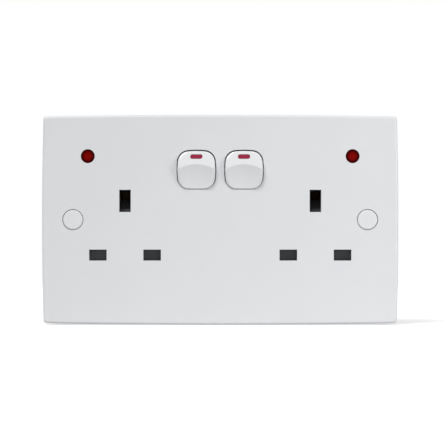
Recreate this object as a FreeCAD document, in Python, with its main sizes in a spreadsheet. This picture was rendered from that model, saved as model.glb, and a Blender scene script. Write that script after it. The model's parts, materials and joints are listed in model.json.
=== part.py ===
"""A twin wall socket: a moulded front plate, its two switches and the works behind it.

Millimetres. X runs to the right, +Y from the front back into the wall box and Z up. The
origin lies on the wall plane, midway between the two fixing screws.
"""
import FreeCAD, Part
import math
import os

import Sketcher

SIZES = {
    # Front plate, whose rim stands on the wall plane
    "plate_width": 146.0,
    "plate_height": 86.0,
    "plate_depth": 9.0,
    "side_bow": 0.6,
    "corner_radius": 1.2,
    "front_edge_radius": 2.0,
    "front_wall": 3.0,
    "skirt_wall": 2.2,
    # Wall fixings behind the round caps, 120.6 apart
    "fixing_inset": 12.7,
    "fixing_boss_half": 5.3,
    "fixing_boss_set_back": 1.4,
    "fixing_hole_radius": 2.1,
    "fixing_thread_radius": 1.75,
    "fixing_neck_radius": 1.45,
    "fixing_head_radius": 3.3,
    "fixing_head_height": 2.0,
    "fixing_reach": 18.0,
    "cap_radius": 4.15,
    "cap_gap": 0.15,
    "cap_wall": 0.9,
    "cap_head_gap": 0.15,
    "cap_rim_bevel": 0.35,
    "cap_recess_depth": 4.6,
    # Pin openings of an outlet
    "outlet_inset": 34.0,
    "earth_pin_level": 7.7,
    "pin_row_drop": 22.2,
    "pin_pitch": 22.2,
    "earth_slot_width": 4.7,
    "earth_slot_height": 9.1,
    "line_slot_width": 7.2,
    "line_slot_height": 4.5,
    "shutter_bed": 1.6,
    # Rockers, sized square to their own faces
    "rocker_pitch": 19.5,
    "rocker_level": 20.5,
    "rocker_width": 15.5,
    "rocker_height": 15.6,
    "rocker_bow": 0.7,
    "rocker_corner_radius": 4.5,
    "rocker_gap": 0.32,
    "rocker_edge_bevel": 0.3,
    "rocker_tilt": 7.0,
    "rocker_pivot_depth": 2.0,
    "rocker_top_rise": 1.6,
    "rocker_ridge_rise": 4.5,
    "rocker_ridge_level": 1.1,
    "rocker_foot_rise": 3.25,
    "rocker_skirt": 1.2,
    "rocker_wall": 1.6,
    "rocker_skin_level": 0.8,
    "dish_radius": 23.5,
    "dish_rise": 3.0,
    "dish_drop": 2.0,
    "trunnion_radius": 1.0,
    "trunnion_length": 1.1,
    "trunnion_mouth": 1.8,
    "flash_width": 4.7,
    "flash_height": 1.65,
    "flash_point": 0.6,
    "flash_drop": 2.2,
    "flash_seat": 1.2,
    "flash_recess": 0.2,
    # Plunger in the rocker's stem
    "stem_half_width": 2.4,
    "stem_length": 9.0,
    "plunger_radius": 1.62,
    "plunger_tip_bevel": 1.0,
    "plunger_back": 4.4,
    "plunger_reach": 13.3,
    "plunger_spring_radius": 1.3,
    "plunger_spring_turns": 3.0,
    "plunger_wire": 0.35,
    # Rocking contact
    "contact_pivot_y": 7.0,
    "contact_tilt": 10.0,
    "contact_length": 15.0,
    "contact_width": 5.0,
    "contact_pin_radius": 0.6,
    "contact_pin_length": 1.5,
    "contact_pad_half": 1.2,
    "contact_pad_reach": 5.9,
    "contact_pad_height": 0.2,
    "fixed_pad_half": 1.5,
    "fixed_pad_height": 0.3,
    # Brass strips
    "strip_thickness": 0.8,
    "live_bar_y": 8.4,
    "live_bar_width": 5.0,
    "live_riser_start": 3.6,
    "live_riser_width": 3.0,
    "live_foot_height": 1.5,
    "bearing_height": 3.2,
    "bearing_thickness": 0.8,
    "bearing_gap": 0.2,
    "switched_strip_y": 9.2,
    "switched_strip_width": 5.0,
    "switched_run_gap": 0.5,
    "neutral_bar_y": 11.4,
    "earth_strip_thickness": 1.2,
    "earth_band_width": 7.0,
    "earth_tail_gap": 0.5,
    "earth_link_width": 6.0,
    # Pin contacts
    "line_contact_front": 0.6,
    "line_contact_width": 6.5,
    "line_contact_gap": 3.8,
    "earth_contact_front": 1.2,
    "earth_contact_height": 8.0,
    "earth_contact_gap": 4.0,
    "contact_flare": 0.7,
    "contact_pinch": 0.35,
    # Terminals
    "terminal_pitch": 14.0,
    "terminal_width": 6.4,
    "terminal_front": 3.0,
    "terminal_back": 13.0,
    "terminal_height": 7.6,
    "terminal_bore_radius": 2.3,
    "terminal_bore_y": 8.0,
    "terminal_bore_depth": 6.4,
    "terminal_screw_radius": 1.5,
    "terminal_screw_slot": 0.6,
    "terminal_screw_slot_depth": 0.8,
    "terminal_screw_level": 4.0,
    "terminal_screw_end": 15.0,
    # Rear housing
    "housing_side_inset": 14.0,
    "housing_top_inset": 10.8,
    "housing_bottom_inset": 14.4,
    "housing_depth": 17.1,
    "housing_wall": 1.6,
    "housing_corner_radius": 3.0,
    "notch_depth": 4.5,
    "notch_half_height": 9.0,
    "upper_post_inset": 38.5,
    "upper_post_level": 17.5,
    "lower_post_x": 20.8,
    "lower_post_drop": 23.6,
    "post_half": 2.9,
    "housing_screw_radius": 1.25,
    "housing_screw_head_radius": 2.5,
    "housing_screw_head_height": 1.4,
    "housing_screw_bite": 4.5,
    "rest_width": 3.0,
    "wire_way_half": 2.75,
    "driver_way_half": 2.4,
    # Shutters
    "shutter_half_width": 14.6,
    "shutter_bar_height": 5.4,
    "shutter_thickness": 3.0,
    "shutter_arm_width": 6.0,
    "shutter_arm_thickness": 2.0,
    "shutter_ramp_width": 4.2,
    "shutter_ramp_height": 5.0,
    "shutter_clearance": 0.3,
    "rail_wall": 1.45,
    "rail_lip": 0.7,
    "rail_length": 12.3,
    "shutter_spring_length": 8.0,
    "shutter_spring_radius": 1.35,
    "shutter_spring_turns": 4.0,
    "shutter_wire": 0.4,
    "spring_stop_height": 1.3,
    # Neon indicators
    "neon_inset": 18.8,
    "neon_level": 26.0,
    "neon_radius": 2.75,
    "neon_flange_radius": 3.0,
    "neon_flange": 0.8,
    "lamp_radius": 2.1,
    "lamp_length": 10.0,
    "resistor_radius": 1.1,
    "resistor_length": 6.0,
    "lead_width": 0.6,
    # Screw slots and fits
    "screw_slot": 0.7,
    "running_gap": 0.06,
    "free_gap": 0.1,
}

SHEET = "Sizes"
COIL_SIDES = 8
CUT = 1.0


class Size(float):
    """A number that keeps the sheet expression it comes from."""

    def __new__(cls, value, text):
        size = super().__new__(cls, value)
        size.text = text
        return size

    def __add__(self, other):
        return Size(float(self) + float(other), f"({self.text} + {text_of(other)})")

    def __radd__(self, other):
        return Size(float(other) + float(self), f"({text_of(other)} + {self.text})")

    def __sub__(self, other):
        return Size(float(self) - float(other), f"({self.text} - {text_of(other)})")

    def __rsub__(self, other):
        return Size(float(other) - float(self), f"({text_of(other)} - {self.text})")

    def __mul__(self, other):
        return Size(float(self) * float(other), f"({self.text} * {text_of(other)})")

    def __rmul__(self, other):
        return Size(float(other) * float(self), f"({text_of(other)} * {self.text})")

    def __truediv__(self, other):
        return Size(float(self) / float(other), f"({self.text} / {text_of(other)})")

    def __neg__(self):
        return Size(-float(self), f"(-{self.text})")


class Named:
    """Gives each alias of the sheet as a Size."""

    def __getattr__(self, alias):
        return Size(SIZES[alias], f"{SHEET}.{alias}")


def text_of(size):
    return size.text if isinstance(size, Size) else f"{size:g}"


def sine(angle):
    return Size(math.sin(math.radians(angle)), f"sin({angle.text})")


def cosine(angle):
    return Size(math.cos(math.radians(angle)), f"cos({angle.text})")


def root(size):
    return Size(math.sqrt(size), f"sqrt({size.text})")


doc = FreeCAD.newDocument("TwinSocket")
sheet = doc.addObject("Spreadsheet::Sheet", SHEET)
for row, (alias, value) in enumerate(SIZES.items(), start=1):
    sheet.set(f"A{row}", alias)
    sheet.set(f"B{row}", str(value))
    sheet.setAlias(f"B{row}", alias)
doc.recompute()
d = Named()

# Levels and places that several pieces share
ZERO = Size(0.0, "0")
plate_face = -d.plate_depth
plate_inside = plate_face + d.front_wall
bed_face = plate_inside + d.shutter_bed
fixing_x = d.plate_width / 2 - d.fixing_inset
fixing_seat = plate_face + d.cap_recess_depth
boss_back = -d.fixing_boss_set_back
outlet_x = d.plate_width / 2 - d.outlet_inset
pin_row_level = d.earth_pin_level - d.pin_row_drop
rocker_x = d.rocker_pitch / 2
pivot_y = plate_face + d.rocker_pivot_depth
housing_half_width = d.plate_width / 2 - d.housing_side_inset
housing_waist = housing_half_width - d.notch_depth
housing_top = d.plate_height / 2 - d.housing_top_inset
housing_low = d.housing_bottom_inset - d.plate_height / 2
housing_inside = d.housing_depth - d.housing_wall
floor_level = housing_low + d.housing_wall
neon_x = d.plate_width / 2 - d.neon_inset
upper_post_x = d.plate_width / 2 - d.upper_post_inset
terminal_top = floor_level + d.terminal_height
terminal_screw_level = floor_level + d.terminal_screw_level
switched_low = d.rocker_level + d.live_bar_width / 2 + d.switched_run_gap
switched_high = switched_low + d.switched_strip_width - d.switched_run_gap
line_contact_low = pin_row_level - d.line_contact_gap / 2 - d.strip_thickness
line_contact_high = pin_row_level + d.line_contact_gap / 2 + d.strip_thickness
left_live_x = d.pin_pitch / 2 - outlet_x
right_live_x = outlet_x + d.pin_pitch / 2
left_neutral_x = -outlet_x - d.pin_pitch / 2
right_neutral_x = outlet_x - d.pin_pitch / 2
earth_bar_y = housing_inside - d.earth_strip_thickness
SIDES = (("left", -1), ("right", 1))
POSTS = (
    (-upper_post_x, d.upper_post_level),
    (upper_post_x, d.upper_post_level),
    (-d.lower_post_x, -d.lower_post_drop),
    (d.lower_post_x, -d.lower_post_drop),
)


def rectangle(left, right, low, high):
    """Corner points of an upright rectangle."""
    return [(left, low), (right, low), (right, high), (left, high)]


def square(across, up, half):
    return rectangle(across - half, across + half, up - half, up + half)


def circle(across, up, radius):
    """A round outline, told from a polygon by its three numbers."""
    return (across, up, radius)


def bind(thing, name, size):
    """Ties a property or a constraint to the sheet."""
    if isinstance(size, Size):
        thing.setExpression(name, size.text)
    else:
        setattr(thing, name, size)


def constrain(sketch, kind, *where, size):
    number = sketch.addConstraint(Sketcher.Constraint(kind, *where, float(size)))
    if isinstance(size, Size):
        sketch.setExpression(f"Constraints[{number}]", size.text)


def pin_point(sketch, edge, end, point):
    constrain(sketch, "DistanceX", -1, 1, edge, end, size=point[0])
    constrain(sketch, "DistanceY", -1, 1, edge, end, size=point[1])


def join_loop(sketch, first, count):
    for step in range(count):
        following = first + (step + 1) % count
        sketch.addConstraint(Sketcher.Constraint("Coincident", first + step, 2, following, 1))


def flat(point):
    return FreeCAD.Vector(point[0], point[1], 0)


def draw(sketch, loops):
    """Draws closed outlines: a circle, or a polygon through its corner points."""
    for loop in loops:
        first = sketch.GeometryCount
        if isinstance(loop, tuple):
            across, up, radius = loop
            centre = flat((across, up))
            sketch.addGeometry(Part.Circle(centre, FreeCAD.Vector(0, 0, 1), float(radius)), False)
            pin_point(sketch, first, 3, (across, up))
            constrain(sketch, "Radius", first, size=radius)
            continue
        for start, end in zip(loop, loop[1:] + loop[:1]):
            sketch.addGeometry(Part.LineSegment(flat(start), flat(end)), False)
        join_loop(sketch, first, len(loop))
        for step, point in enumerate(loop):
            pin_point(sketch, first + step, 1, point)


def corner_centre(half_width, half_height, side_radius, end_radius, corner):
    """Where a corner arc's centre lies to meet two bowed sides."""
    left, low = half_width - side_radius, half_height - end_radius
    reach, rise = side_radius - corner, end_radius - corner
    span = math.hypot(left, low)
    along = (reach * reach - rise * rise + span * span) / (2 * span)
    aside = math.sqrt(reach * reach - along * along)
    return left - (along * left + aside * low) / span, (along * low - aside * left) / span


def draw_bowed(sketch, width, height, bow, corner, centre=(0, 0)):
    """Draws a rectangle whose sides bow outwards, with round corners that run into them."""
    half_width, half_height = width / 2, height / 2
    side_half, end_half = half_height - bow, half_width - bow
    side_radius = (side_half * side_half + bow * bow) / (2 * bow)
    end_radius = (end_half * end_half + bow * bow) / (2 * bow)
    right, top = half_width - side_radius, half_height - end_radius
    across, up = corner_centre(half_width, half_height, side_radius, end_radius, corner)
    side_end = math.atan2(up, across - right)
    top_start = math.atan2(up - top, across)
    turns = [-side_end, side_end, top_start, math.pi - top_start]
    turns += [turn + math.pi for turn in turns] + [2 * math.pi - side_end]
    arcs = [
        (right, 0, side_radius), (across, up, corner), (0, top, end_radius), (-across, up, corner),
        (-right, 0, side_radius), (-across, -up, corner), (0, -top, end_radius), (across, -up, corner),
    ]
    first = sketch.GeometryCount
    for (x, y, radius), start, end in zip(arcs, turns, turns[1:]):
        place = flat((centre[0] + x, centre[1] + y))
        ring = Part.Circle(place, FreeCAD.Vector(0, 0, 1), float(radius))
        sketch.addGeometry(Part.ArcOfCircle(ring, start, end), False)
    for step, (x, y, radius) in enumerate(arcs):
        number, following = first + step, first + (step + 1) % len(arcs)
        sketch.addConstraint(Sketcher.Constraint("Tangent", number, 2, following, 1))
        constrain(sketch, "Radius", number, size=radius)
        if step % 2 == 0:
            pin_point(sketch, number, 3, (centre[0] + x, centre[1] + y))


# Each direction's origin plane, and the sense in which its sketches face
PLANES = {"X": ("YZ_Plane", 1), "Y": ("XZ_Plane", -1), "Z": ("XY_Plane", 1)}


def new_body(label):
    body = doc.addObject("PartDesign::Body", label)
    body.Label = label
    return body


def new_sketch(body, name, direction, place=0.0):
    """A sketch square to a direction, at a place along it."""
    role, sense = PLANES[direction]
    sketch = body.newObject("Sketcher::SketchObject", name)
    plane = next(one for one in body.Origin.OriginFeatures if one.Role == role)
    sketch.AttachmentSupport = (plane, [""])
    sketch.MapMode = "FlatFace"
    offset = sense * place
    sketch.AttachmentOffset = FreeCAD.Placement(FreeCAD.Vector(0, 0, offset), FreeCAD.Rotation())
    if isinstance(offset, Size):
        sketch.setExpression("AttachmentOffset.Base.z", offset.text)
    return sketch


def prism(body, name, direction, loops, low, high, cut=False, **bowed):
    """Pads, or pockets, outlines or one bowed outline between two places along a direction."""
    sketch = new_sketch(body, f"{name}_outline", direction, high if direction == "Y" else low)
    if loops:
        draw(sketch, loops)
    else:
        draw_bowed(sketch, **bowed)
    feature = body.newObject("PartDesign::Pocket" if cut else "PartDesign::Pad", name)
    feature.Profile = sketch
    feature.Reversed = cut
    bind(feature, "Length", high - low)
    return feature


def turned(body, name, direction, points, cut=False):
    """Revolves a (radius, place) outline about the body's own line along Y or Z."""
    sketch = new_sketch(body, f"{name}_outline", "Z" if direction == "Y" else "Y")
    draw(sketch, [points])
    feature = body.newObject("PartDesign::Groove" if cut else "PartDesign::Revolution", name)
    feature.Profile = sketch
    feature.ReferenceAxis = (sketch, ["V_Axis"])
    feature.Angle = 360
    return feature


def edge_names(shape, wanted):
    return [f"Edge{number}" for number, edge in enumerate(shape.Edges, start=1) if wanted(edge)]


def rounded(body, name, base, wanted, radius, kind="PartDesign::Fillet"):
    """Rounds, or chamfers, those edges of the last feature that the test picks."""
    doc.recompute()
    feature = body.newObject(kind, name)
    feature.Base = (base, edge_names(base.Shape, wanted))
    bind(feature, "Radius" if kind.endswith("Fillet") else "Size", radius)
    return feature


def runs_along(edge, direction, length):
    """Whether an edge is straight, lies along a direction and has a length."""
    box = edge.BoundBox
    spans = {"X": box.XLength, "Y": box.YLength, "Z": box.ZLength}
    along = spans.pop(direction)
    return abs(along - length) < 1e-3 and max(spans.values()) < 1e-3


def is_front_edge(edge):
    """Whether an edge lies round the front end of a piece turned from its origin backwards."""
    return edge.BoundBox.YMax < 1e-3


def move(body, x=0.0, y=0.0, z=0.0, tilt=None):
    """Places a body, turned about X if a tilt is given."""
    turn = FreeCAD.Rotation(FreeCAD.Vector(1, 0, 0), float(tilt or 0))
    body.Placement = FreeCAD.Placement(FreeCAD.Vector(float(x), float(y), float(z)), turn)
    for axis, size in zip("xyz", (x, y, z)):
        if isinstance(size, Size):
            body.setExpression(f"Placement.Base.{axis}", size.text)
    if isinstance(tilt, Size):
        body.setExpression("Placement.Rotation.Angle", f"{tilt.text} * 1 deg")


def group(label, bodies):
    """Several identical solids as one sub-part."""
    compound = doc.addObject("Part::Compound", label)
    compound.Label = label
    compound.Links = bodies
    return compound


def clip_outline(centre, front, back, gap, thickness):
    """The outline of a spring clip: a base, two leaves that pinch, and their flared mouths."""
    pinch_y = front + (back - front) / 4
    inner, outer = gap / 2, gap / 2 + thickness
    narrow_inner, narrow_outer = inner - d.contact_pinch, outer - d.contact_pinch
    upper = [
        (back, outer),
        (pinch_y, narrow_outer),
        (front, narrow_outer + d.contact_flare),
        (front, narrow_inner + d.contact_flare),
        (pinch_y, narrow_inner),
        (back - thickness, inner),
    ]
    lower = [(along, -off) for along, off in reversed(upper)]
    return [(along, centre + off) for along, off in upper + lower]


def make_front_plate():
    body = new_body("front_plate")
    slab = prism(
        body, "slab", "Y", None, plate_face, ZERO,
        width=d.plate_width, height=d.plate_height, bow=d.side_bow, corner=d.corner_radius,
    )
    rounded(
        body, "front_edge", slab, lambda edge: edge.BoundBox.YMax < plate_face + 0.01,
        d.front_edge_radius,
    )
    inner_x = d.plate_width / 2 - d.side_bow - d.skirt_wall
    inner_z = d.plate_height / 2 - d.side_bow - d.skirt_wall
    hollow = rectangle(-inner_x, inner_x, -inner_z, inner_z)
    prism(body, "hollow", "Y", [hollow], plate_inside, ZERO, cut=True)

    bosses = [square(side * fixing_x, 0.0, d.fixing_boss_half) for _, side in SIDES]
    prism(body, "fixing_bosses", "Y", bosses, plate_inside, boss_back)
    posts = [square(x, z, d.post_half) for x, z in POSTS]
    prism(body, "housing_bosses", "Y", posts, plate_inside, ZERO)
    for name, side in SIDES:
        make_shutter_bed(body, name, side * outlet_x)

    for name, side in SIDES:
        recess = circle(side * fixing_x, 0.0, d.cap_radius + d.cap_gap)
        prism(body, f"{name}_cap_recess", "Y", [recess], plate_face - CUT, fixing_seat, cut=True)
        hole = circle(side * fixing_x, 0.0, d.fixing_hole_radius)
        prism(body, f"{name}_fixing_hole", "Y", [hole], fixing_seat - CUT, boss_back, cut=True)
        window = circle(side * neon_x, d.neon_level, d.neon_radius + d.free_gap)
        prism(body, f"{name}_neon_hole", "Y", [window], plate_face - CUT, plate_inside, cut=True)
        make_pin_slots(body, name, side * outlet_x)
        make_rocker_opening(body, name, side * rocker_x)
    pilots = [circle(x, z, d.housing_screw_radius + d.running_gap) for x, z in POSTS]
    end = -d.housing_screw_bite - d.free_gap
    prism(body, "pilot_holes", "Y", pilots, end, ZERO, cut=True)
    return body


def make_shutter_bed(body, name, centre):
    """The pads and rails that a shutter slides on and under, with its spring's stop."""
    reach = d.shutter_half_width + d.free_gap
    low = pin_row_level - d.shutter_bar_height / 2 - d.shutter_clearance
    neck = d.shutter_arm_width
    bed_top = pin_row_level + d.shutter_bar_height / 2 + d.shutter_clearance
    top = d.earth_pin_level + d.earth_slot_height / 2 + d.free_gap * 5
    outline = [
        (centre - reach - d.rail_wall, low),
        (centre + reach + d.rail_wall, low),
        (centre + reach + d.rail_wall, bed_top),
        (centre + neck, bed_top),
        (centre + neck, top),
        (centre - neck, top),
        (centre - neck, bed_top),
        (centre - reach - d.rail_wall, bed_top),
    ]
    prism(body, f"{name}_shutter_bed", "Y", [outline], plate_inside, bed_face)
    rail_back = bed_face + d.shutter_thickness + d.shutter_clearance * 2
    for end, side in (("inner", -1), ("outer", 1)):
        near = centre + side * reach
        far = near + side * d.rail_wall
        rail = rectangle(near, far, bed_top - d.rail_length, bed_top)
        prism(body, f"{name}_{end}_rail", "Y", [rail], plate_inside, rail_back + d.rail_lip)
        lip = rectangle(near - side * d.rail_wall, far, bed_top - d.rail_length, bed_top)
        prism(body, f"{name}_{end}_lip", "Y", [lip], rail_back, rail_back + d.rail_lip)
    stop_top = pin_row_level - d.shutter_bar_height / 2 - d.shutter_spring_length - d.free_gap
    stop = rectangle(
        centre - d.shutter_arm_width / 2, centre + d.shutter_arm_width / 2,
        stop_top - d.spring_stop_height, stop_top,
    )
    prism(body, f"{name}_spring_stop", "Y", [stop], plate_inside, rail_back + d.rail_lip)


def make_pin_slots(body, name, centre):
    row = [
        (centre, d.earth_pin_level, d.earth_slot_width, d.earth_slot_height),
        (centre - d.pin_pitch / 2, pin_row_level, d.line_slot_width, d.line_slot_height),
        (centre + d.pin_pitch / 2, pin_row_level, d.line_slot_width, d.line_slot_height),
    ]
    loops = [
        rectangle(x - width / 2, x + width / 2, z - height / 2, z + height / 2)
        for x, z, width, height in row
    ]
    prism(body, f"{name}_pin_slots", "Y", loops, plate_face - CUT, bed_face, cut=True)


def make_rocker_opening(body, name, centre):
    """The opening round a rocker and the snap bearings of its trunnions."""
    prism(
        body, f"{name}_rocker_opening", "Y", None, plate_face, plate_inside, cut=True,
        width=d.rocker_width + d.rocker_gap * 2,
        height=d.rocker_height + d.rocker_gap * 2, bow=d.rocker_bow,
        corner=d.rocker_corner_radius + d.rocker_gap, centre=(centre, d.rocker_level),
    )
    reach = d.rocker_width / 2 + d.trunnion_length + d.free_gap
    bearing = circle(pivot_y, d.rocker_level, d.trunnion_radius + d.running_gap)
    prism(body, f"{name}_bearings", "X", [bearing], centre - reach, centre + reach, cut=True)
    mouth = rectangle(
        pivot_y, plate_inside + CUT,
        d.rocker_level - d.trunnion_mouth / 2, d.rocker_level + d.trunnion_mouth / 2,
    )
    prism(body, f"{name}_mouths", "X", [mouth], centre - reach, centre + reach, cut=True)


def make_rear_housing():
    """The tray behind the plate, with its screw posts and the rests of the strips."""
    body = new_body("rear_housing")
    wide, waist, low, high = housing_half_width, housing_waist, housing_low, housing_top
    notch, wall = d.notch_half_height, d.housing_wall
    shell = prism(
        body, "shell", "Y", [tray_outline(wide, waist, low, high, notch)],
        plate_inside, d.housing_depth,
    )
    depth = d.housing_depth - plate_inside
    corner_z = (float(low), float(high))
    rounded(
        body, "shell_corners", shell,
        lambda edge: runs_along(edge, "Y", depth)
        and min(abs(edge.BoundBox.ZMin - level) for level in corner_z) < 1e-3,
        d.housing_corner_radius,
    )
    inside = tray_outline(wide - wall, waist - wall, low + wall, high - wall, notch + wall)
    prism(body, "inside", "Y", [inside], plate_inside - CUT, housing_inside, cut=True)

    posts = [square(x, z, d.post_half) for x, z in POSTS]
    prism(body, "posts", "Y", posts, ZERO, housing_inside)
    for name, back, rests in strip_rests():
        prism(body, name, "Y", rests, back, housing_inside)
    bores = [circle(x, z, d.housing_screw_radius + d.running_gap * 4) for x, z in POSTS]
    prism(body, "screw_bores", "Y", bores, ZERO - CUT, d.housing_depth, cut=True)
    seats = [circle(x, z, d.housing_screw_head_radius + d.free_gap) for x, z in POSTS]
    seat = d.housing_depth - d.housing_screw_head_height - d.free_gap
    prism(body, "screw_seats", "Y", seats, seat, d.housing_depth + CUT, cut=True)

    strap = d.earth_band_width / 2 + d.earth_tail_gap
    slot = rectangle(-wide, wide, -strap, strap)
    prism(body, "strap_slots", "Y", [slot], plate_inside - CUT, housing_inside, cut=True)
    half, reach = d.driver_way_half, d.terminal_pitch + d.driver_way_half
    driver_way = rectangle(-reach, reach, terminal_screw_level - half, terminal_screw_level + half)
    prism(body, "driver_way", "Y", [driver_way], housing_inside - CUT, d.housing_depth + CUT, cut=True)
    half, reach = d.wire_way_half, d.terminal_pitch + d.wire_way_half
    wire_way = rectangle(-reach, reach, d.terminal_bore_y - half, d.terminal_bore_y + half)
    prism(body, "wire_way", "Z", [wire_way], low - CUT, floor_level + CUT, cut=True)
    return body


def tray_outline(wide, waist, low, high, notch):
    """The tray's outline, waisted on both sides to pass the fixing bosses."""
    right = [(wide, low), (wide, -notch), (waist, -notch), (waist, notch), (wide, notch), (wide, high)]
    left = [(-x, z) for x, z in reversed(right)]
    return right + left


def strip_rests():
    """Blocks on the tray's floor that carry the strips, each to its strip's back."""
    half = d.rest_width / 2
    run = switched_low + d.switched_strip_width / 2
    live_back = d.live_bar_y + d.strip_thickness
    riser = d.live_riser_start + d.live_riser_width / 2
    under_row = line_contact_low - d.rest_width
    return [
        ("live_rests", live_back, [
            rectangle(riser - half, riser + half, under_row / 2 - half, under_row / 2 + half),
            rectangle(-half, half, d.rocker_level - half, d.rocker_level + half),
        ]),
        ("switched_rests", d.switched_strip_y + d.strip_thickness, [
            rectangle(x - half, x + half, run - half, run + half)
            for x in (left_live_x + d.rest_width * 2, right_neutral_x, right_live_x)
        ]),
        ("neutral_rests", d.neutral_bar_y + d.strip_thickness, [
            rectangle(x - half, x + half, pin_row_level - half, pin_row_level + half)
            for x in (left_neutral_x, left_live_x / 2, right_neutral_x)
        ]),
    ]


def make_rocker(name, centre):
    """A rocker about its hinge line, with a sloped brow, a dished face and a hollow stem."""
    body = new_body(f"{name}_rocker")
    half_height = d.rocker_height / 2
    prism(
        body, "block", "Y", None, -half_height, d.rocker_skirt,
        width=d.rocker_width, height=d.rocker_height, bow=d.rocker_bow,
        corner=d.rocker_corner_radius,
    )
    sweep_radius = root(half_height * half_height + d.rocker_pivot_depth * d.rocker_pivot_depth)
    far = half_height + CUT
    front = [
        (-far, far), (-far, -far), (-d.rocker_foot_rise, -far),
        (-d.rocker_foot_rise, -half_height), (-d.rocker_ridge_rise, d.rocker_ridge_level),
        (-d.rocker_top_rise, half_height), (-d.rocker_top_rise, far),
    ]
    half_width = d.rocker_width / 2
    prism(body, "front_faces", "X", [front], -half_width - CUT, half_width + CUT, cut=True)
    around = [rectangle(-far, far, -far, far), circle(0.0, 0.0, sweep_radius)]
    swept = prism(body, "swept_sides", "X", around, -half_width - CUT, half_width + CUT, cut=True)
    rounded(body, "face_edges", swept, is_face_rim, d.rocker_edge_bevel, "PartDesign::Chamfer")
    dish = body.newObject("PartDesign::SubtractiveSphere", "dish")
    plane = next(one for one in body.Origin.OriginFeatures if one.Role == "XY_Plane")
    dish.AttachmentSupport = (plane, [""])
    dish.MapMode = "FlatFace"
    bind(dish, "Radius", d.dish_radius)
    dish.setExpression("AttachmentOffset.Base.y", (-d.dish_rise - d.dish_radius).text)
    dish.setExpression("AttachmentOffset.Base.z", (-d.dish_drop).text)
    hollow = rectangle(
        d.rocker_wall - half_width, half_width - d.rocker_wall,
        -half_height + d.rocker_wall * 2, half_height - d.rocker_wall * 2,
    )
    prism(body, "underside", "Y", [hollow], -d.rocker_skin_level, half_height, cut=True)
    stem = square(0.0, 0.0, d.stem_half_width)
    prism(body, "stem", "Y", [stem], -d.rocker_skin_level, d.stem_length)
    bore = circle(0.0, 0.0, d.plunger_radius + d.running_gap)
    prism(body, "plunger_bore", "Y", [bore], ZERO, d.stem_length + CUT, cut=True)
    reach = half_width + d.trunnion_length
    for end, side in (("left", -1), ("right", 1)):
        inner, outer = half_width - d.rocker_wall, reach
        low, high = (inner, outer) if side > 0 else (-outer, -inner)
        prism(body, f"{end}_trunnion", "X", [circle(0.0, 0.0, d.trunnion_radius)], low, high)
    seat = flash_outline(d.running_gap)
    prism(body, "flash_seat", "Y", [seat], -far, -d.flash_seat, cut=True)
    place_on_rocker(body, centre)
    return body


def is_face_rim(edge):
    """Whether an edge bounds the rocker's pressed faces, in front of its hinge line."""
    return max(vertex.Y for vertex in edge.Vertexes) < 0


def flash_outline(gap):
    """A lozenge with blunt points at the left and right."""
    level = d.rocker_height / 2 - d.flash_drop
    half_width, half_height = d.flash_width / 2 + gap, d.flash_height / 2 + gap
    shoulder = half_width - d.flash_point
    return [
        (half_width, level), (shoulder, level + half_height), (-shoulder, level + half_height),
        (-half_width, level), (-shoulder, level - half_height), (shoulder, level - half_height),
    ]


def place_on_rocker(body, centre):
    move(body, centre, pivot_y, d.rocker_level, d.rocker_tilt)


def make_rocker_flash(name, centre):
    """The coloured insert that shows when the switch is on, set back from the brow."""
    body = new_body(f"{name}_rocker_flash")
    brow_slope = (d.rocker_ridge_rise - d.rocker_top_rise) / (d.rocker_height / 2 - d.rocker_ridge_level)
    far = d.rocker_ridge_rise + CUT
    prism(body, "insert", "Y", [flash_outline(ZERO)], -far, -d.flash_seat)
    top = d.rocker_height / 2
    low = top - d.flash_drop * 2
    recess = d.flash_recess - d.rocker_top_rise
    front = [
        (-far - CUT, low), (recess - brow_slope * d.flash_drop * 2, low), (recess, top), (-far - CUT, top),
    ]
    reach = d.flash_width
    prism(body, "slope", "X", [front], -reach, reach, cut=True)
    place_on_rocker(body, centre)
    return body


def make_plunger(name, centre):
    body = new_body(f"{name}_plunger")
    radius, tip = d.plunger_radius, d.plunger_tip_bevel
    outline = [
        (0.0, d.plunger_back), (radius, d.plunger_back), (radius, d.plunger_reach - tip),
        (radius - tip, d.plunger_reach), (0.0, d.plunger_reach),
    ]
    turned(body, "stem", "Y", outline)
    place_on_rocker(body, centre)
    return body


def make_coil(label, radius, wire, turns, length):
    """A compression spring up the Z axis, of square wire laid in short straight lengths."""
    steps = int(round(turns * COIL_SIDES))
    rise = (length - wire) / steps
    centres = [
        FreeCAD.Vector(
            radius * math.cos(2 * math.pi * step / COIL_SIDES),
            radius * math.sin(2 * math.pi * step / COIL_SIDES),
            wire / 2 + rise * step,
        )
        for step in range(steps + 1)
    ]
    path = Part.makePolygon(centres)
    half = wire / 2
    corners = [(-half, -half), (half, -half), (half, half), (-half, half), (-half, -half)]
    section = Part.makePolygon(
        [centres[0] + FreeCAD.Vector(across, 0, up) for across, up in corners]
    )
    coil = doc.addObject("Part::Feature", label)
    coil.Shape = path.makePipeShell([section], True, True, 1)
    return coil


def make_plunger_spring(name, centre):
    length = d.plunger_back - d.free_gap
    coil = make_coil(
        f"{name}_plunger_spring", d.plunger_spring_radius, d.plunger_wire, d.plunger_spring_turns, length
    )
    start = d.free_gap / 2
    y = pivot_y + start * cosine(d.rocker_tilt)
    z = d.rocker_level + start * sine(d.rocker_tilt)
    move(coil, centre, y, z, d.rocker_tilt - 90)
    return coil


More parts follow.
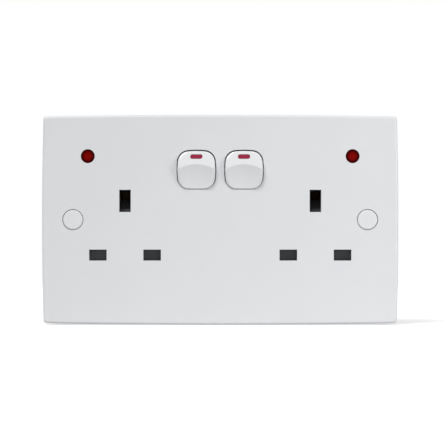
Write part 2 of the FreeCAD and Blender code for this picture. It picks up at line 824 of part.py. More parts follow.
def make_moving_contact(name, centre):
    """The strip that a plunger rocks about its pins, with a contact pad at its live end."""
    body = new_body(f"{name}_moving_contact")
    half, thick = d.contact_length / 2, d.strip_thickness / 2
    width = d.contact_width / 2
    prism(body, "strip", "Y", [rectangle(-width, width, -half, half)], -thick, thick)
    pad = square(0.0, d.contact_pad_reach, d.contact_pad_half)
    prism(body, "pad", "Y", [pad], thick, thick + d.contact_pad_height)
    reach = width + d.contact_pin_length
    prism(body, "pins", "X", [circle(0.0, 0.0, d.contact_pin_radius)], -reach, reach)
    move(body, centre, d.contact_pivot_y, d.rocker_level, -d.contact_tilt)
    return body


def make_live_bar():
    """The incoming live strip: a foot on its terminal, a riser and a cross bar with bearings."""
    body = new_body("live_bar")
    back = d.live_bar_y + d.strip_thickness
    left, right = d.live_riser_start, d.live_riser_start + d.live_riser_width
    low = d.rocker_level - d.live_bar_width / 2
    high = d.rocker_level + d.live_bar_width / 2
    end = rocker_x + d.contact_width / 2 + d.contact_pin_length + d.bearing_thickness
    foot_end = d.terminal_pitch + d.terminal_width / 2
    foot_top = terminal_top + d.live_foot_height
    outline = [
        (left, terminal_top), (foot_end, terminal_top), (foot_end, foot_top), (right, foot_top),
        (right, low), (end, low), (end, high), (-end, high), (-end, low), (left, low),
    ]
    prism(body, "strip", "Y", [outline], d.live_bar_y, back)
    gap = d.bearing_gap
    for name, side in SIDES:
        for end_name, end_side in SIDES:
            near = side * rocker_x + end_side * (d.contact_width / 2 + gap)
            far = near + end_side * d.bearing_thickness
            left, right = (near, far) if end_side > 0 else (far, near)
            post = rectangle(
                d.contact_pivot_y - d.bearing_height / 2, d.live_bar_y,
                d.rocker_level - d.bearing_height / 2, d.rocker_level + d.bearing_height / 2,
            )
            prism(body, f"{name}_{end_name}_bearing", "X", [post], left, right)
    half = d.contact_pin_radius + d.running_gap
    notch = rectangle(
        d.contact_pivot_y - d.bearing_height, d.contact_pivot_y + half,
        d.rocker_level - half, d.rocker_level + half,
    )
    prism(body, "bearing_notches", "X", [notch], -end, end, cut=True)
    return body


def make_live_strip(name, side):
    """A switched strip: a run past the rocking contact, a leg and the live pin's clip."""
    body = new_body(f"{name}_live_strip")
    clip_x = left_live_x if side < 0 else right_live_x
    front, back = d.switched_strip_y, d.switched_strip_y + d.strip_thickness
    half = d.switched_strip_width / 2
    near = side * rocker_x - side * d.contact_width / 2
    outer, inner = clip_x + side * half, clip_x - side * half
    row_low = line_contact_low
    outline = [
        (near, switched_high), (near, switched_low), (inner, switched_low),
        (inner, row_low), (outer, row_low), (outer, switched_high),
    ]
    prism(body, "strip", "Y", [outline], front, back)
    width = d.line_contact_width / 2
    clip = clip_outline(pin_row_level, d.line_contact_front, back, d.line_contact_gap, d.strip_thickness)
    prism(body, "clip", "X", [clip], clip_x - width, clip_x + width)
    pad = square(side * rocker_x, d.rocker_level + d.contact_pad_reach, d.fixed_pad_half)
    prism(body, "pad", "Y", [pad], front - d.fixed_pad_height, front)
    return body


def make_neutral_bar():
    body = new_body("neutral_bar")
    front, back = d.neutral_bar_y, d.neutral_bar_y + d.strip_thickness
    width = d.line_contact_width / 2
    tab = d.terminal_width / 2
    tab_x = -d.terminal_pitch
    outline = [
        (left_neutral_x - width, line_contact_high), (left_neutral_x - width, line_contact_low),
        (tab_x - tab, line_contact_low), (tab_x - tab, terminal_top), (tab_x + tab, terminal_top),
        (tab_x + tab, line_contact_low), (right_neutral_x + width, line_contact_low),
        (right_neutral_x + width, line_contact_high),
    ]
    prism(body, "strip", "Y", [outline], front, back)
    clip = clip_outline(pin_row_level, d.line_contact_front, back, d.line_contact_gap, d.strip_thickness)
    for name, x in (("left", left_neutral_x), ("right", right_neutral_x)):
        prism(body, f"{name}_clip", "X", [clip], x - width, x + width)
    return body


def make_earth_bar():
    """The earth strap: its band, tails round both fixing screws and a link to the terminal."""
    body = new_body("earth_bar")
    thick = d.earth_strip_thickness
    half = d.earth_band_width / 2
    tail = housing_waist + d.earth_tail_gap + thick
    top = d.earth_pin_level + d.earth_contact_height / 2
    arm = d.earth_contact_gap / 2 + thick * 2
    outline = [(-tail, -half), (tail, -half), (tail, half), (outlet_x + arm, half)]
    outline += [(outlet_x + arm, top), (outlet_x - arm, top), (outlet_x - arm, half)]
    outline += [(-x, z) for x, z in reversed(outline[3:])] + [(-tail, half)]
    prism(body, "band", "Y", [outline], earth_bar_y, housing_inside)
    toe_back = boss_back + thick
    for name, side in SIDES:
        near, far = (tail - thick, tail) if side > 0 else (-tail, thick - tail)
        strap = rectangle(boss_back, housing_inside, -half, half)
        prism(body, f"{name}_strap", "X", [strap], near, far)
        edge = side * (tail - thick)
        toe = rectangle(edge, side * (fixing_x + half), -half, half)
        prism(body, f"{name}_toe", "Y", [toe], boss_back, toe_back)
        hole = circle(side * fixing_x, 0.0, d.fixing_hole_radius)
        prism(body, f"{name}_hole", "Y", [hole], boss_back - CUT, toe_back + CUT, cut=True)
    link = d.earth_link_width / 2
    drop = rectangle(-link, link, terminal_top, -half)
    prism(body, "link", "Y", [drop], earth_bar_y, housing_inside)
    foot = rectangle(-link, link, terminal_top, terminal_top + thick)
    prism(body, "foot", "Y", [foot], d.terminal_bore_y, housing_inside)
    return body


def make_earth_contact(name, side):
    body = new_body(f"{name}_earth_contact")
    x = side * outlet_x
    thick = d.strip_thickness
    clip = clip_outline(x, d.earth_contact_front, earth_bar_y, d.earth_contact_gap, thick)
    outline = [(across, along) for along, across in clip]
    low = d.earth_pin_level - d.earth_contact_height / 2
    prism(body, "clip", "Z", [outline], low, low + d.earth_contact_height)
    return body


def make_terminal(name, place):
    """A brass block with a bore for the wires from below and a clamp screw from behind."""
    body = new_body(f"{name}_terminal")
    half = d.terminal_width / 2
    block = rectangle(place - half, place + half, floor_level, terminal_top)
    prism(body, "block", "Y", [block], d.terminal_front, d.terminal_back)
    bore = circle(place, d.terminal_bore_y, d.terminal_bore_radius)
    prism(body, "bore", "Z", [bore], floor_level - CUT, floor_level + d.terminal_bore_depth, cut=True)
    hole = circle(place, terminal_screw_level, d.terminal_screw_radius + d.running_gap)
    prism(body, "screw_hole", "Y", [hole], d.terminal_bore_y, d.terminal_back + CUT, cut=True)
    return body


def screw(label, head_radius, head_height, shank):
    """A slotted screw along Y with its head behind y = 0; shank is a list of (radius, end)."""
    body = new_body(label)
    outline = [(0.0, -head_height), (head_radius, -head_height), (head_radius, 0.0)]
    start = ZERO
    for radius, end in shank:
        outline += [(radius, start), (radius, end)]
        start = end
    outline.append((0.0, start))
    turned(body, "turned", "Y", outline)
    half = d.screw_slot / 2
    blade = rectangle(-half, half, -head_radius - CUT, head_radius + CUT)
    prism(body, "slot", "Y", [blade], -head_height - CUT, -head_height / 2, cut=True)
    return body


def make_fixing_screws():
    bodies = []
    neck = [(d.fixing_neck_radius, -fixing_seat), (d.fixing_thread_radius, d.fixing_reach - fixing_seat)]
    for name, side in SIDES:
        body = screw(f"{name}_fixing_screw", d.fixing_head_radius, d.fixing_head_height, neck)
        move(body, side * fixing_x, fixing_seat, 0.0)
        bodies.append(body)
    return group("fixing_screws", bodies)


def turned_round(body, x, y, z):
    """Places a body made along Y with its far end towards the front."""
    turn = FreeCAD.Rotation(FreeCAD.Vector(0, 0, 1), 180)
    body.Placement = FreeCAD.Placement(FreeCAD.Vector(float(x), float(y), float(z)), turn)
    for axis, size in zip("xyz", (x, y, z)):
        if isinstance(size, Size):
            body.setExpression(f"Placement.Base.{axis}", size.text)


def make_housing_screws():
    bodies = []
    seat = d.housing_depth - d.housing_screw_head_height - d.free_gap
    for number, (x, z) in enumerate(POSTS, start=1):
        shank = [(d.housing_screw_radius, seat + d.housing_screw_bite)]
        body = screw(
            f"housing_screw_{number}", d.housing_screw_head_radius, d.housing_screw_head_height, shank
        )
        turned_round(body, x, seat, z)
        bodies.append(body)
    return group("housing_screws", bodies)


def make_terminal_screws():
    """Headless slotted screws, one behind each terminal's bore."""
    bodies = []
    tip = d.terminal_bore_y + d.terminal_bore_radius + d.free_gap * 2
    end = d.terminal_screw_end
    for name, side in (("live", 1), ("earth", 0), ("neutral", -1)):
        body = new_body(f"{name}_terminal_screw")
        x, z = side * d.terminal_pitch, terminal_screw_level
        prism(body, "shank", "Y", [circle(x, z, d.terminal_screw_radius)], tip, end)
        half, reach = d.terminal_screw_slot / 2, d.terminal_screw_radius + CUT
        blade = rectangle(x - half, x + half, z - reach, z + reach)
        prism(body, "slot", "Y", [blade], end - d.terminal_screw_slot_depth, end + CUT, cut=True)
        bodies.append(body)
    return group("terminal_screws", bodies)


def make_screw_cap(name, side):
    """A round cap whose skirt stands on the recess floor round the screw head."""
    body = new_body(f"{name}_screw_cap")
    inner = d.fixing_head_radius + d.cap_head_gap
    depth = d.cap_recess_depth
    outline = [
        (0.0, 0.0), (d.cap_radius, 0.0), (d.cap_radius, depth), (inner, depth),
        (inner, d.cap_wall), (0.0, d.cap_wall),
    ]
    cap = turned(body, "cap", "Y", outline)
    rounded(body, "rim", cap, is_front_edge, d.cap_rim_bevel, "PartDesign::Chamfer")
    move(body, side * fixing_x, plate_face, 0.0)
    return body


def make_shutter(name, side):
    """A shutter: the bar behind the lower openings, an arm, and the ramp the earth pin pushes."""
    body = new_body(f"{name}_shutter")
    x = side * outlet_x
    front = bed_face + d.shutter_clearance
    half_bar = d.shutter_bar_height / 2
    bar_top = pin_row_level + half_bar
    ramp_top = d.earth_pin_level + d.shutter_clearance * 2
    ramp_low = ramp_top - d.shutter_ramp_height
    bar = rectangle(
        x - d.shutter_half_width, x + d.shutter_half_width, pin_row_level - half_bar, bar_top
    )
    prism(body, "bar", "Y", [bar], front, front + d.shutter_thickness)
    arm = rectangle(x - d.shutter_arm_width / 2, x + d.shutter_arm_width / 2, bar_top, ramp_low)
    prism(body, "arm", "Y", [arm], front, front + d.shutter_arm_thickness)
    toe = d.shutter_arm_thickness / 2
    ramp = [
        (front, ramp_low), (front + d.shutter_ramp_height, ramp_low),
        (front + d.shutter_ramp_height, ramp_top), (front + toe, ramp_low + toe),
        (front, ramp_low + toe),
    ]
    half_ramp = d.shutter_ramp_width / 2
    prism(body, "ramp", "X", [ramp], x - half_ramp, x + half_ramp)
    return body


def make_shutter_spring(name, side):
    coil = make_coil(
        f"{name}_shutter_spring", d.shutter_spring_radius, d.shutter_wire, d.shutter_spring_turns,
        d.shutter_spring_length,
    )
    y = bed_face + d.shutter_clearance + d.shutter_thickness / 2
    z = pin_row_level - d.shutter_bar_height / 2 - d.shutter_spring_length - d.free_gap / 2
    move(coil, side * outlet_x, y, z)
    return coil


def make_neon_lens(name, side):
    body = new_body(f"{name}_neon_lens")
    depth = d.front_wall
    outline = [
        (0.0, 0.0), (d.neon_radius, 0.0), (d.neon_radius, depth), (d.neon_flange_radius, depth),
        (d.neon_flange_radius, depth + d.neon_flange), (0.0, depth + d.neon_flange),
    ]
    turned(body, "lens", "Y", outline)
    move(body, side * neon_x, plate_face, d.neon_level)
    return body


def make_neon_lamp(name, side):
    """A glow lamp behind its lens, with two stiff leads out of its foot."""
    body = new_body(f"{name}_neon_lamp")
    front = plate_inside + d.neon_flange + d.free_gap * 3
    outline = [
        (0.0, 0.0), (d.lamp_radius, 0.0), (d.lamp_radius, d.lamp_length), (0.0, d.lamp_length),
    ]
    turned(body, "glass", "Y", outline)
    half = d.lead_width / 2
    centre = d.lamp_radius / 2
    back = d.switched_strip_y - front
    leads = [rectangle(x - half, x + half, -half, half) for x in (-centre, centre)]
    prism(body, "leads", "Y", leads, d.lamp_length, back)
    move(body, side * neon_x, front, d.neon_level)
    return body


def make_neon_resistor(name, side):
    """The lamp's series resistor, its wires running from a lamp lead to the switched strip."""
    body = new_body(f"{name}_neon_resistor")
    half = d.lead_width / 2
    lamp_end = side * (neon_x - d.lamp_radius / 2 - half)
    join = left_live_x if side < 0 else right_live_x - d.resistor_length
    y = d.switched_strip_y - d.resistor_radius - d.lead_width
    near = lamp_end - side * d.resistor_length / 4
    far = near - side * d.resistor_length
    left, right = (near, far) if side < 0 else (far, near)
    prism(body, "barrel", "X", [circle(y, d.neon_level, d.resistor_radius)], left, right)
    foot = join - side * half
    left, right = (lamp_end, foot) if side < 0 else (foot, lamp_end)
    wire = rectangle(y - half, y + half, d.neon_level - half, d.neon_level + half)
    prism(body, "wire", "X", [wire], left, right)
    bend = rectangle(y, d.switched_strip_y, d.neon_level - half, d.neon_level + half)
    prism(body, "foot", "X", [bend], join - half, join + half)
    return body


def build():
    pieces = [make_front_plate(), make_rear_housing()]
    for name, side in SIDES:
        centre = side * rocker_x
        pieces += [
            make_rocker(name, centre), make_rocker_flash(name, centre),
            make_plunger(name, centre), make_plunger_spring(name, centre),
            make_moving_contact(name, centre), make_live_strip(name, side),
            make_earth_contact(name, side), make_shutter(name, side), make_shutter_spring(name, side),
            make_screw_cap(name, side), make_neon_lens(name, side), make_neon_lamp(name, side),
            make_neon_resistor(name, side),
        ]
    pieces += [make_live_bar(), make_neutral_bar(), make_earth_bar()]
    for name, side in (("live", 1), ("earth", 0), ("neutral", -1)):
        pieces.append(make_terminal(name, side * d.terminal_pitch))
    pieces += [make_terminal_screws(), make_housing_screws(), make_fixing_screws()]
    return pieces


def failures(pieces):
    """Names every object that didn't build, and every sub-part without a sound shape."""
    found = [one.Label for one in doc.Objects if {"Invalid", "Error"} & set(one.State)]
    for piece in pieces:
        if piece.Shape.isNull() or not piece.Shape.isValid() or not piece.Shape.Solids:
            found.append(piece.Label)
    return found


built = build()
doc.recompute()
broken = failures(built)
if broken:
    raise RuntimeError("not built: " + ", ".join(broken))
os.makedirs("parts", exist_ok=True)
for piece in built:
    piece.Shape.exportStep(os.path.join("parts", f"{piece.Label}.step"))
    print(f"{piece.Label}: {len(piece.Shape.Solids)} solids, {piece.Shape.Volume:.1f} mm3")
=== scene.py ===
"""Dresses the twin socket: mouldings, rockers, caps, lenses, springs, screws, light and camera.

Metres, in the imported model's frame: X to the right, +Y from the front into the wall, Z up.
"""
import json
import math

import bpy
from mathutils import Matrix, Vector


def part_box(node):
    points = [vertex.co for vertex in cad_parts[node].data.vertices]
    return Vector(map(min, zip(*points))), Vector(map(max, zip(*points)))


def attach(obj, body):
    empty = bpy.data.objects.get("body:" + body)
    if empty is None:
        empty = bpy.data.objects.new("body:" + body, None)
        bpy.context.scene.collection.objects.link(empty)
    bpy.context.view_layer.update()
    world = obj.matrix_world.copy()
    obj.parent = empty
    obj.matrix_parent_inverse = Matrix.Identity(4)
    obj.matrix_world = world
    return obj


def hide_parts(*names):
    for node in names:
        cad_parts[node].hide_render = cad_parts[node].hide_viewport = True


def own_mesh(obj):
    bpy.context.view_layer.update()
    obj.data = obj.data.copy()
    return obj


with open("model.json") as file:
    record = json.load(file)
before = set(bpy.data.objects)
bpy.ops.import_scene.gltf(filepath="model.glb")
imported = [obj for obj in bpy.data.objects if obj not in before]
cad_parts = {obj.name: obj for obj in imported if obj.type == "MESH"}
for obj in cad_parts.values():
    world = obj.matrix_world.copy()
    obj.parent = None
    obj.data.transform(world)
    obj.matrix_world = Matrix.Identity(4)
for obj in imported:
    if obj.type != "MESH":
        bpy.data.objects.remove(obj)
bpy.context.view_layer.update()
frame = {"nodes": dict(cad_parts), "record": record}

MM = 0.001
NODES = frame["nodes"]
SIDES = ("left", "right")
ON_FACE = 0.01 * MM  # how near to a face a point counts as on it

# Where the image lies on the plate: its width in pixels, and the plate in it
PHOTO_WIDTH = 447
PIXELS_PER_METRE = 2443
PLATE_CENTRE_PIXEL = (220.2, 219.7)
CAMERA_DISTANCE = 1.0

# The plate: its walls, the bow of its sides and the border that is rolled anew
plate_low, plate_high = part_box("front_plate")
plate_face = plate_low.y
SIDE_BOW = 0.6 * MM
SKIRT_WALL = 2.2 * MM
FRONT_WALL = 3.0 * MM
CORNER_RADIUS = 1.2 * MM
FRONT_ROLL = 1.0 * MM
BORDER = 5.2 * MM
OVERCUT = 1.0 * MM

# The rockers: hinge line, lean at rest, the way square to the pressed front, half its width
PIVOT_Y = -7.0 * MM
PIVOT_Z = 20.5 * MM
ROCKER_X = 9.75 * MM
ROCKER_LEAN = math.radians(7.0)
TO_BACK = (0.0, math.cos(ROCKER_LEAN), math.sin(ROCKER_LEAN))
ROCKER_HALF = 7.75 * MM

# Their front, in levels behind the hinge line (minus is in front) and above it
FRONT_CUT = -1.25 * MM
WORKS_CUT = -1.6 * MM
RIM_LEVEL = -0.5 * MM
FOOT_TOP = -6.0 * MM
FOOT_BACK = -1.8 * MM
FOOT_LIFT = 0.35 * MM
CELL = 0.14 * MM

# Their rim: its rounded square outline, and the share of the half width where it rolls over
OUTLINE_POWER = 3.4
RIM_START = 0.82
RIM_WIDTH = 0.12
RIM_PASSES = 60

# The thumb dish: a ball stretched upwards, and how deep, low and leaning it is pressed in
DISH_RADIUS = 23.5 * MM
DISH_STRETCH = 1.384
DISH_DEPTH = 3.15 * MM
DISH_LEVEL = -2.05 * MM
DISH_LEAN = math.radians(4.3)

# The brow above the dish, and the red bar that shows through it
BROW_LEAN = math.radians(23.4)
BROW_RISE = 2.55 * MM
FLASH_LEVEL = 5.6 * MM
FLASH_WIDTH = 4.7 * MM
FLASH_HEIGHT = 1.5 * MM
FLASH_DEPTH = 4.0 * MM
FLASH_MIDDLE = -3.2 * MM
FLASH_END_SHARE = 0.44
FLASH_RECESS = 0.12 * MM
FLASH_EASE = 0.12 * MM
FLASH_GAP = 0.1 * MM

# The neon lenses, and the resistors behind them
lens_low, lens_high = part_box("right_neon_lens")
LENS_X = (lens_low.x + lens_high.x) / 2
LENS_Z = (lens_low.z + lens_high.z) / 2
LENS_RADIUS = 2.75 * MM
RESISTOR_RADIUS = 1.1 * MM

# The housing's waist, and the fixing screws with their threads
WAIST = 54.0 * MM
FIXING_X = 60.3 * MM
SHANK_RADIUS = 1.75 * MM
ROOT_SHARE = 0.84
THREAD_PITCH = 0.6 * MM
THREAD_START = 0.5 * MM
THREAD_RUNOUT = 0.2 * MM
THREAD_WIRE = 0.3 * MM

# The springs: wire and turns
PLUNGER_WIRE = 0.35 * MM
PLUNGER_TURNS = 3
SHUTTER_WIRE = 0.4 * MM
SHUTTER_TURNS = 4

# How far each part's edges are eased
EASE = {
    "pin_mouth": 0.08 * MM, "rocker_mouth": 0.24 * MM, "screw_cap": 0.35 * MM,
    "neon_lens": 0.3 * MM, "neon_lamp": 0.9 * MM, "resistor": 0.4 * MM, "shutter": 0.15 * MM,
    "housing": 0.7 * MM, "pan_head": 0.45 * MM, "fixing_head": 0.35 * MM, "terminal": 0.2 * MM,
}


def deselect():
    bpy.ops.object.select_all(action="DESELECT")


def only(piece):
    """Makes one piece the selected and active one."""
    deselect()
    piece.select_set(True)
    bpy.context.view_layer.objects.active = piece


def edit(piece, mode="FACE"):
    only(piece)
    bpy.ops.object.mode_set(mode="EDIT")
    bpy.ops.mesh.select_mode(type=mode)


def leave():
    bpy.ops.object.mode_set(mode="OBJECT")


def pick(piece, wanted, kind="polygons"):
    """Selects, in edit mode, those faces, edges or vertices that the test wants."""
    bpy.ops.mesh.select_all(action="DESELECT")
    leave()
    for item in getattr(piece.data, kind):
        item.select = wanted(item)
    bpy.ops.object.mode_set(mode="EDIT")


def apply_all(piece):
    only(piece)
    for modifier in list(piece.modifiers):
        bpy.ops.object.modifier_apply(modifier=modifier.name)


def settle(piece):
    """Leaves the piece's object at the origin, with its place in its mesh."""
    only(piece)
    bpy.ops.object.transform_apply(location=True, rotation=True, scale=True)


def smooth(piece, degrees=30):
    """Smooth shading that leaves the large flat faces flat."""
    only(piece)
    bpy.ops.object.shade_smooth_by_angle(angle=math.radians(degrees))
    weigh = piece.modifiers.new("weigh", "WEIGHTED_NORMAL")
    weigh.weight = 100
    weigh.keep_sharp = True
    apply_all(piece)


def sideways(side, distance):
    """A place that far from the plate's middle, on the left or on the right."""
    return -distance if side == "left" else distance


def finish_piece(piece, body, slot, material, *replaced):
    piece.data.materials.clear()
    piece.data.materials.append(material)
    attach(piece, body)
    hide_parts(*replaced)


def copy_of(node, name):
    """A piece that starts from a solid's own skin, its loose triangles joined up."""
    piece = bpy.data.objects.new(name, NODES[node].data.copy())
    bpy.context.scene.collection.objects.link(piece)
    edit(piece)
    bpy.ops.mesh.select_all(action="SELECT")
    bpy.ops.mesh.customdata_custom_splitnormals_clear()
    bpy.ops.mesh.remove_doubles(threshold=0.002 * MM)
    pick(piece, lambda face: max(abs(part) for part in face.normal) > 0.99999)
    bpy.ops.mesh.dissolve_limited(angle_limit=math.radians(0.1))
    leave()
    return piece


def ease_edges(piece, width, wanted, segments=3):
    """Rounds the sharp edges that the test wants, as a mould's edges are."""
    edit(piece, "EDGE")
    bpy.ops.mesh.select_all(action="DESELECT")
    bpy.ops.mesh.edges_select_sharp(sharpness=math.radians(35))
    leave()
    sharp = {edge.index for edge in piece.data.edges if edge.select}
    points = piece.data.vertices
    bpy.ops.object.mode_set(mode="EDIT")
    pick(
        piece,
        lambda edge: edge.index in sharp and wanted(*(points[end].co for end in edge.vertices)),
        "edges",
    )
    bpy.ops.mesh.bevel(offset=width, segments=segments, affect="EDGES", clamp_overlap=True)
    leave()


def soften(piece, cell, passes):
    """Remakes the skin in even cells and eases every edge, as moulded corners are."""
    remesh = piece.modifiers.new("cells", "REMESH")
    remesh.mode = "VOXEL"
    remesh.voxel_size = cell
    ease = piece.modifiers.new("ease", "SMOOTH")
    ease.factor = 0.5
    ease.iterations = passes
    apply_all(piece)


def combine(piece, other, operation):
    """Cuts or adds another piece, which is used up."""
    only(piece)
    change = piece.modifiers.new(operation.lower(), "BOOLEAN")
    change.operation = operation
    change.solver = "EXACT"
    change.object = other
    bpy.ops.object.modifier_apply(modifier=change.name)
    bpy.data.objects.remove(other)


def make_box(low, high):
    """A cutting block between two corners; it is used up by the cut."""
    deselect()
    bpy.ops.mesh.primitive_cube_add(size=1.0, location=(Vector(low) + Vector(high)) / 2)
    box = bpy.context.active_object
    box.scale = Vector(high) - Vector(low)
    settle(box)
    return box


def wind_wire(name, corners, radius, place, pitch, turns, steps):
    """A wire wound round the Z axis from that place, with its two ends closed."""
    deselect()
    bpy.ops.mesh.primitive_circle_add(
        vertices=corners, radius=radius, location=place, rotation=(math.pi / 2, 0.0, 0.0)
    )
    wire = bpy.context.active_object
    wire.name = name
    settle(wire)
    wind = wire.modifiers.new("wind", "SCREW")
    wind.axis = "Z"
    wind.steps = wind.render_steps = steps
    wind.screw_offset = pitch
    wind.iterations = turns
    apply_all(wire)
    edit(wire, "EDGE")
    bpy.ops.mesh.select_all(action="SELECT")
    bpy.ops.mesh.remove_doubles(threshold=0.001 * MM)
    bpy.ops.mesh.select_all(action="DESELECT")
    bpy.ops.mesh.select_non_manifold()
    bpy.ops.mesh.edge_face_add()
    bpy.ops.mesh.select_all(action="SELECT")
    bpy.ops.mesh.normals_make_consistent(inside=False)
    leave()
    return wire


# Materials

def socket(group, name, kind, way="INPUT", value=None):
    made = group.interface.new_socket(name=name, in_out=way, socket_type=f"NodeSocket{kind}")
    if value is not None:
        made.default_value = value
    return made


def new_group(name, inputs, outputs):
    group = bpy.data.node_groups.new(name, "ShaderNodeTree")
    for label, kind, value in inputs:
        socket(group, label, kind, value=value)
    for label, kind in outputs:
        socket(group, label, kind, way="OUTPUT")
    source = group.nodes.new("NodeGroupInput")
    sink = group.nodes.new("NodeGroupOutput")
    return group, source, sink


def noise(tree, vector, scale, detail=3.0):
    node = tree.nodes.new("ShaderNodeTexNoise")
    node.inputs["Scale"].default_value = scale
    node.inputs["Detail"].default_value = detail
    tree.links.new(vector, node.inputs["Vector"])
    return node.outputs["Fac"]


def maths(tree, operation, *values):
    node = tree.nodes.new("ShaderNodeMath")
    node.operation = operation
    for port, value in zip(node.inputs, values):
        if isinstance(value, (int, float)):
            port.default_value = value
        else:
            tree.links.new(value, port)
    return node.outputs["Value"]


def spread(tree, value, low, high):
    """Stretches a noise's middle over a range."""
    node = tree.nodes.new("ShaderNodeMapRange")
    node.inputs["From Min"].default_value = 0.3
    node.inputs["From Max"].default_value = 0.7
    for label, end in (("To Min", low), ("To Max", high)):
        if isinstance(end, float):
            node.inputs[label].default_value = end
        else:
            tree.links.new(end, node.inputs[label])
    tree.links.new(value, node.inputs["Value"])
    return node.outputs["Result"]


def blend_colours(tree, factor, first, second):
    node = tree.nodes.new("ShaderNodeMix")
    node.data_type = "RGBA"
    tree.links.new(factor, node.inputs["Factor"])
    for label, colour in (("A", first), ("B", second)):
        port = next(one for one in node.inputs if one.name == label and one.type == "RGBA")
        if isinstance(colour, tuple):
            port.default_value = (*colour, 1.0)
        else:
            tree.links.new(colour, port)
    return next(one for one in node.outputs if one.type == "RGBA")


def make_moulded_skin():
    """Moulding: faint flow clouds in the colour, fine orange peel and uneven gloss."""
    group, source, sink = new_group(
        "moulded_skin",
        [
            ("Vector", "Vector", None), ("Light Tint", "Color", (1, 1, 1, 1)),
            ("Dark Tint", "Color", (1, 1, 1, 1)), ("Cloud Scale", "Float", 30.0),
            ("Peel Scale", "Float", 900.0), ("Gloss Low", "Float", 0.3),
            ("Gloss High", "Float", 0.4),
        ],
        [("Colour", "Color"), ("Roughness", "Float"), ("Height", "Float")],
    )
    link = group.links.new
    vector = source.outputs["Vector"]
    clouds = noise(group, vector, 1.0)
    link(source.outputs["Cloud Scale"], clouds.node.inputs["Scale"])
    peel = noise(group, vector, 1.0, 1.0)
    link(source.outputs["Peel Scale"], peel.node.inputs["Scale"])
    factor = spread(group, clouds, 0.0, 1.0)
    colour = blend_colours(
        group, factor, source.outputs["Light Tint"], source.outputs["Dark Tint"]
    )
    link(colour, sink.inputs["Colour"])
    link(
        spread(group, clouds, source.outputs["Gloss Low"], source.outputs["Gloss High"]),
        sink.inputs["Roughness"],
    )
    link(peel, sink.inputs["Height"])
    return group


def make_drawn_metal():
    """Strip or wire: long fine draw lines, clouds of tarnish and uneven shine."""
    group, source, sink = new_group(
        "drawn_metal",
        [
            ("Vector", "Vector", None), ("Bright Tint", "Color", (1, 1, 1, 1)),
            ("Dull Tint", "Color", (1, 1, 1, 1)), ("Line Scale", "Float", 1500.0),
            ("Cloud Scale", "Float", 120.0), ("Gloss Low", "Float", 0.2),
            ("Gloss High", "Float", 0.4),
        ],
        [("Colour", "Color"), ("Roughness", "Float"), ("Height", "Float")],
    )
    link = group.links.new
    stretch = group.nodes.new("ShaderNodeMapping")
    line_length = 25
    stretch.inputs["Scale"].default_value = (1.0, 1.0, 1 / line_length)
    link(source.outputs["Vector"], stretch.inputs["Vector"])
    lines = noise(group, stretch.outputs["Vector"], 1.0, 2.0)
    link(source.outputs["Line Scale"], lines.node.inputs["Scale"])
    clouds = noise(group, source.outputs["Vector"], 1.0, 4.0)
    link(source.outputs["Cloud Scale"], clouds.node.inputs["Scale"])
    tarnish = spread(group, clouds, 0.0, 1.0)
    link(
        blend_colours(group, tarnish, source.outputs["Bright Tint"], source.outputs["Dull Tint"]),
        sink.inputs["Colour"],
    )
    link(
        spread(group, lines, source.outputs["Gloss Low"], source.outputs["Gloss High"]),
        sink.inputs["Roughness"],
    )
    link(lines, sink.inputs["Height"])
    return group


MOULDED_SKIN = make_moulded_skin()
DRAWN_METAL = make_drawn_metal()


def surface(name, group, values, bump, distance, **plain):
    """A material whose colour, roughness and bump come from one of the shared groups."""
    material = bpy.data.materials.new(name)
    material.use_nodes = True
    tree = material.node_tree
    shader = tree.nodes["Principled BSDF"]
    place = tree.nodes.new("ShaderNodeTexCoord")
    effect = tree.nodes.new("ShaderNodeGroup")
    effect.node_tree = group
    for label, value in values.items():
        effect.inputs[label].default_value = (*value, 1.0) if isinstance(value, tuple) else value
    height = tree.nodes.new("ShaderNodeBump")
    height.inputs["Strength"].default_value = bump
    height.inputs["Distance"].default_value = distance
    link = tree.links.new
    link(place.outputs["Object"], effect.inputs["Vector"])
    link(effect.outputs["Colour"], shader.inputs["Base Color"])
    link(effect.outputs["Roughness"], shader.inputs["Roughness"])
    link(effect.outputs["Height"], height.inputs["Height"])
    link(height.outputs["Normal"], shader.inputs["Normal"])
    for label, value in plain.items():
        shader.inputs[label.replace("_", " ")].default_value = value
    return material


def moulding(name, light, dark, gloss=(0.28, 0.36), clouds=45.0, peel=900.0, bump=0.06, **plain):
    values = {
        "Light Tint": light, "Dark Tint": dark, "Cloud Scale": clouds, "Peel Scale": peel,
        "Gloss Low": gloss[0], "Gloss High": gloss[1],
    }
    return surface(name, MOULDED_SKIN, values, bump, 0.05 * MM, **plain)


def metal(name, bright, dull, gloss=(0.2, 0.38), lines=1500.0, clouds=160.0, bump=0.12):
    values = {
        "Bright Tint": bright, "Dull Tint": dull, "Line Scale": lines, "Cloud Scale": clouds,
        "Gloss Low": gloss[0], "Gloss High": gloss[1],
    }
    return surface(name, DRAWN_METAL, values, bump, 0.03 * MM, Metallic=1.0)


